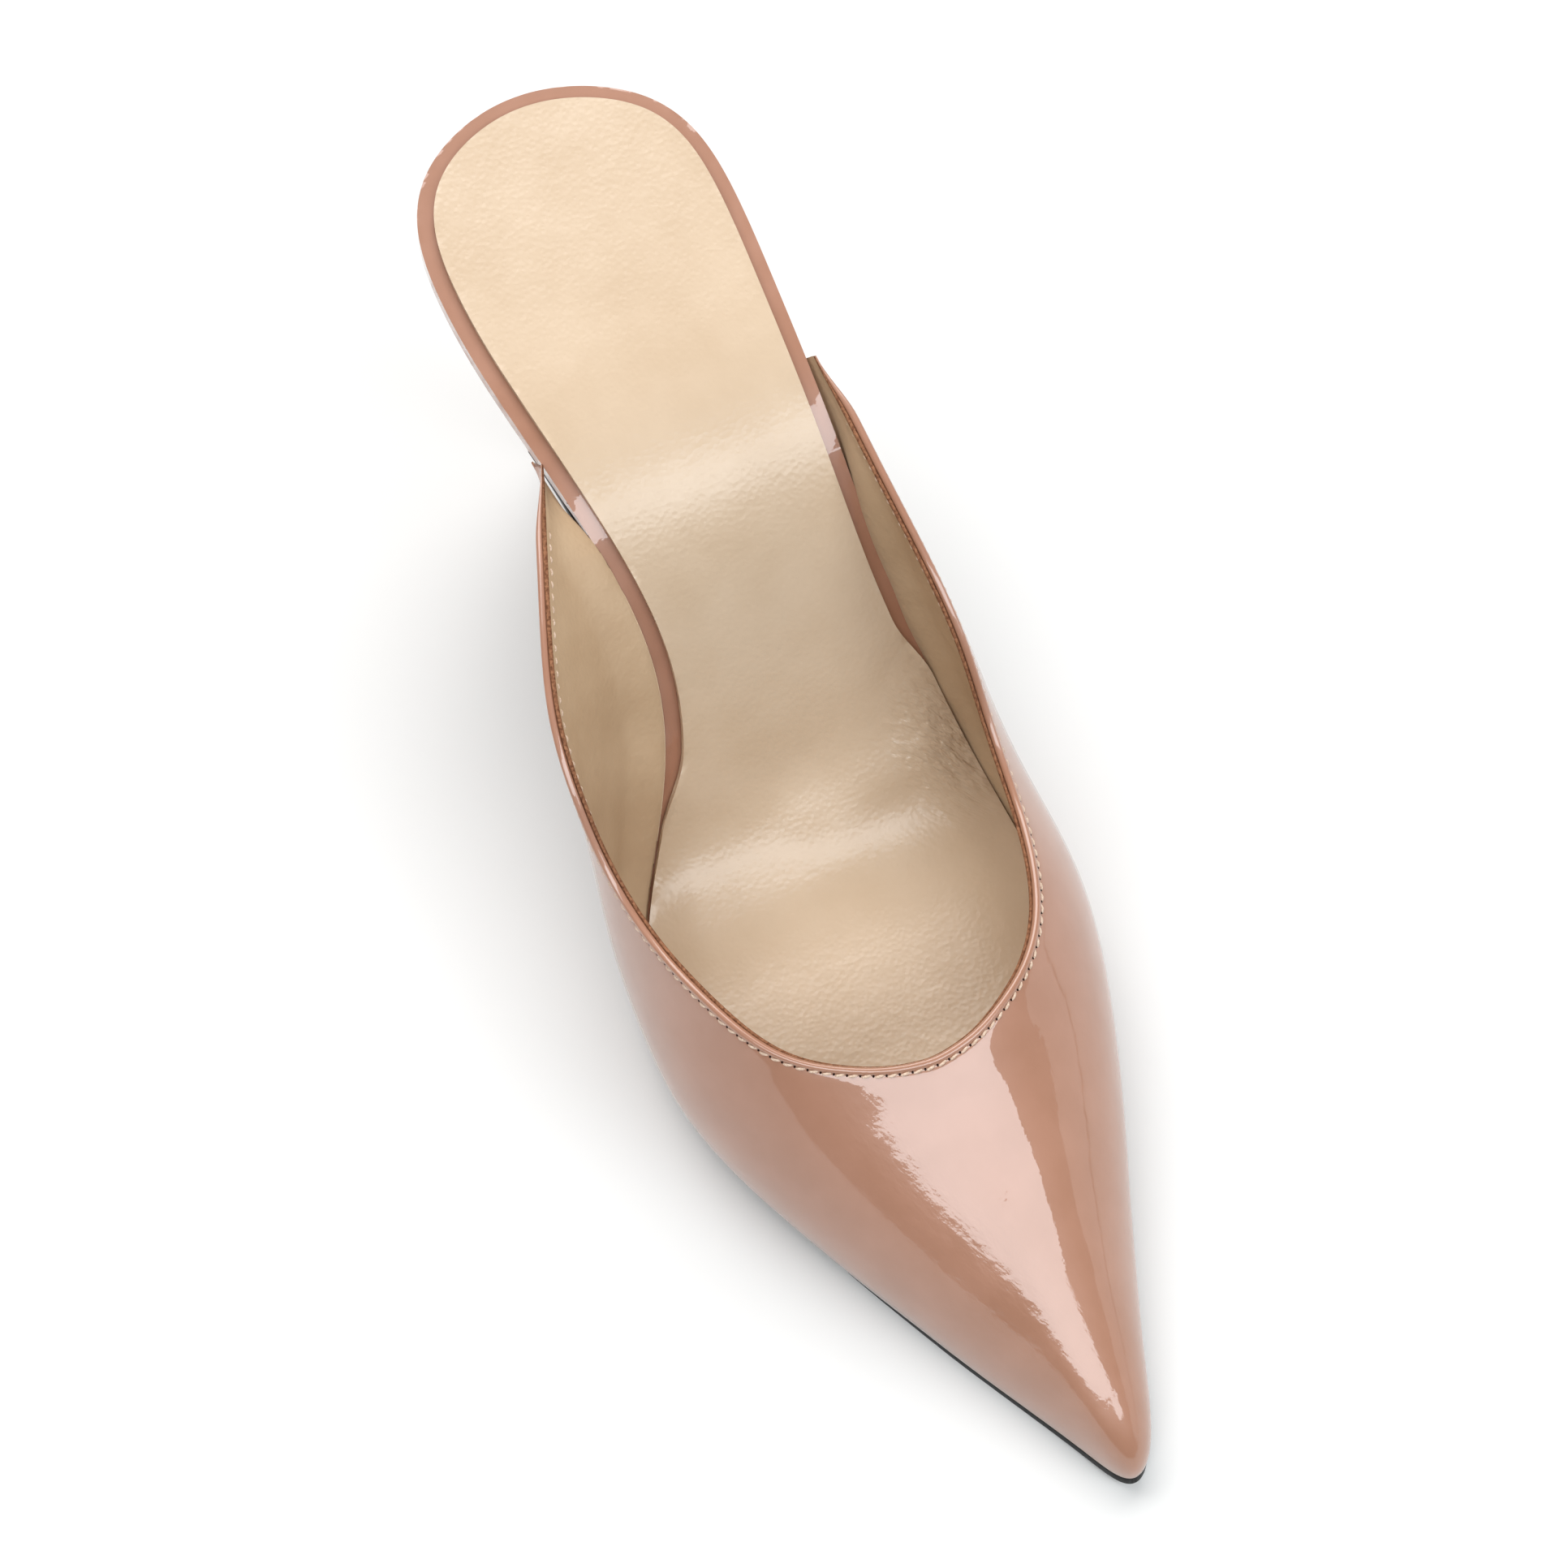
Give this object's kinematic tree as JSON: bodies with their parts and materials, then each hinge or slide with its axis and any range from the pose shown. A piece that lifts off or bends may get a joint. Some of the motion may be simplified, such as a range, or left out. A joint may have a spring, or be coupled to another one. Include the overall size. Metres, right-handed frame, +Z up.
{
  "type": "pointed high-heel mule",
  "caption": "Left pointed-toe mule in glossy patent leather with an open back, a beige sock on a wrapped footbed and a slim covered high heel.",
  "frame": {"origin": "on the floor, on the flat tread of the forefoot, 30 percent of the last's length behind the toe tip", "axes": "+Z up, -Y towards the toe, +X to the outer side of the left foot"},
  "size_m": [0.0784, 0.2297, 0.0851],
  "materials": {
    "outsole": "black painted sole leather, satin",
    "patent_wrap": "patent leather, high gloss",
    "sock": "smooth kid leather, satin",
    "patent_upper": "patent leather outside, satin leather lining inside",
    "patent_heel": "moulded block covered in patent leather, high gloss",
    "top_piece": "black, matt"
  },
  "bodies": {
    "root": {"outsole": "outsole", "insole_board": "patent_wrap", "sock": "sock", "upper": "patent_upper", "heel": "patent_heel", "top_piece": "top_piece"}
  },
  "joints": []
}
